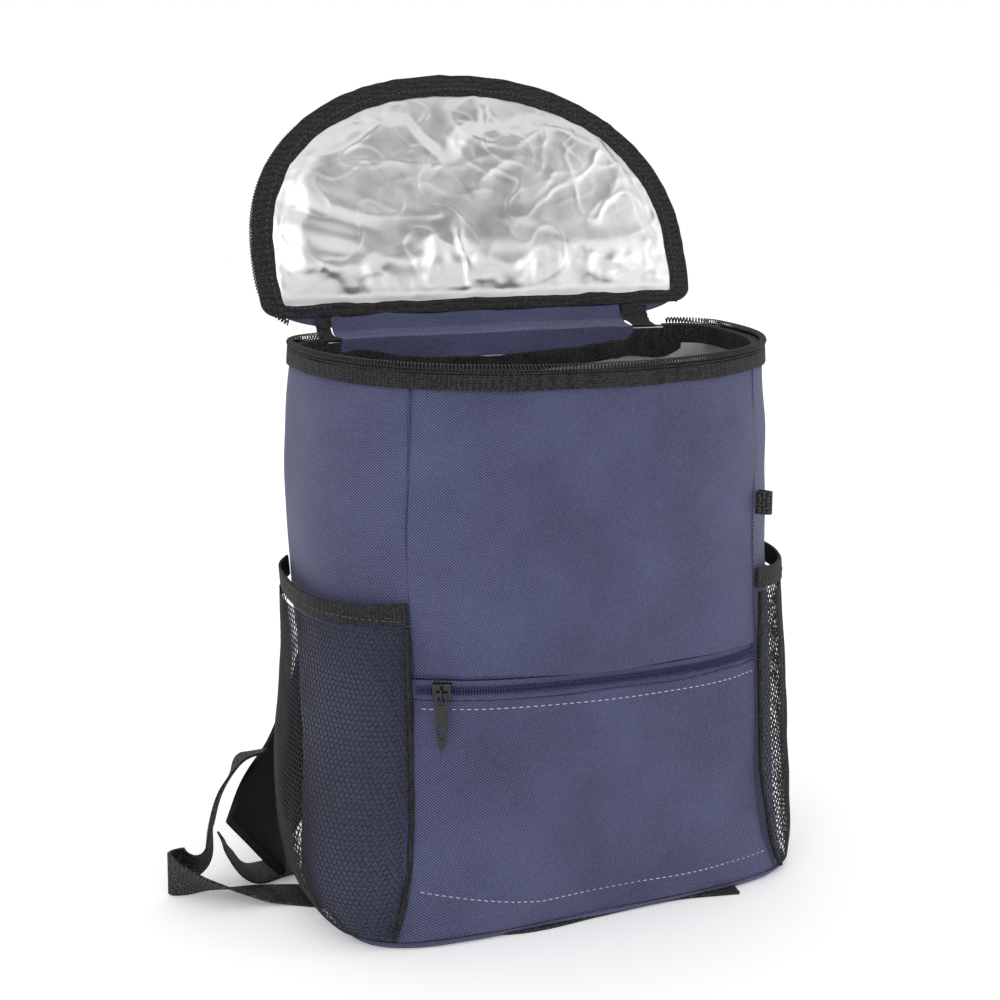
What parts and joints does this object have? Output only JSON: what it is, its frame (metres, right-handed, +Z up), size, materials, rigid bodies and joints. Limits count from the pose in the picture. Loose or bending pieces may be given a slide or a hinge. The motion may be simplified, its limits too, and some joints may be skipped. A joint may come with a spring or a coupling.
{
  "type": "cooler backpack",
  "caption": "Cooler backpack standing open: slate navy cloth bag with foil lining, lid folded back past upright, zipped front pocket, side net pockets and shoulder straps.",
  "frame": {"origin": "centre of the flat base, on the floor", "axes": "+Z up, the front pocket faces -Y, the net pocket on the picture's left is at -X"},
  "size_m": [0.3583, 0.2365, 0.4584],
  "materials": {
    "cloth": "matte",
    "foil": "satin",
    "tape": "matte",
    "coil": "satin",
    "lacquer": "gloss",
    "net": "matte",
    "pad": "matte"
  },
  "bodies": {
    "pack": {"front_panel": "cloth", "side_panel_left": "cloth", "side_panel_right": "cloth", "back_panel": "cloth", "front_pocket": "cloth", "pocket_zip_tape": "tape", "pocket_zip_coil": "coil", "slider": "lacquer", "foil_lining": "foil", "rim_zip_tape": "tape", "rim_binding": "tape", "rim_zip_coil": "coil", "lid_panel": "cloth", "lid_binding": "tape", "lid_foil": "foil", "lid_zip_coil": "coil", "hinge_strip": "cloth", "hinge_binding": "tape", "hinge_end_left": "tape", "hinge_end_right": "tape", "net_pocket_left": "net", "pocket_edge_left": "tape", "net_pocket_right": "net", "pocket_edge_right": "tape", "side_loop": "tape", "strap_pad_left": "pad", "strap_pad_right": "pad", "anchor_webbing_left": "tape", "anchor_webbing_right": "tape", "webbing_tail_left": "tape", "base_panel": "cloth"},
    "puller": {"puller": "lacquer"}
  },
  "joints": [
    {"name": "puller_swing", "type": "hinge", "parent": "pack", "child": "puller", "pos_m": [-0.09342, -0.06265, 0.1408], "axis": [-0.8859, 0.4639, 0], "range_deg": [0, 170]}
  ]
}
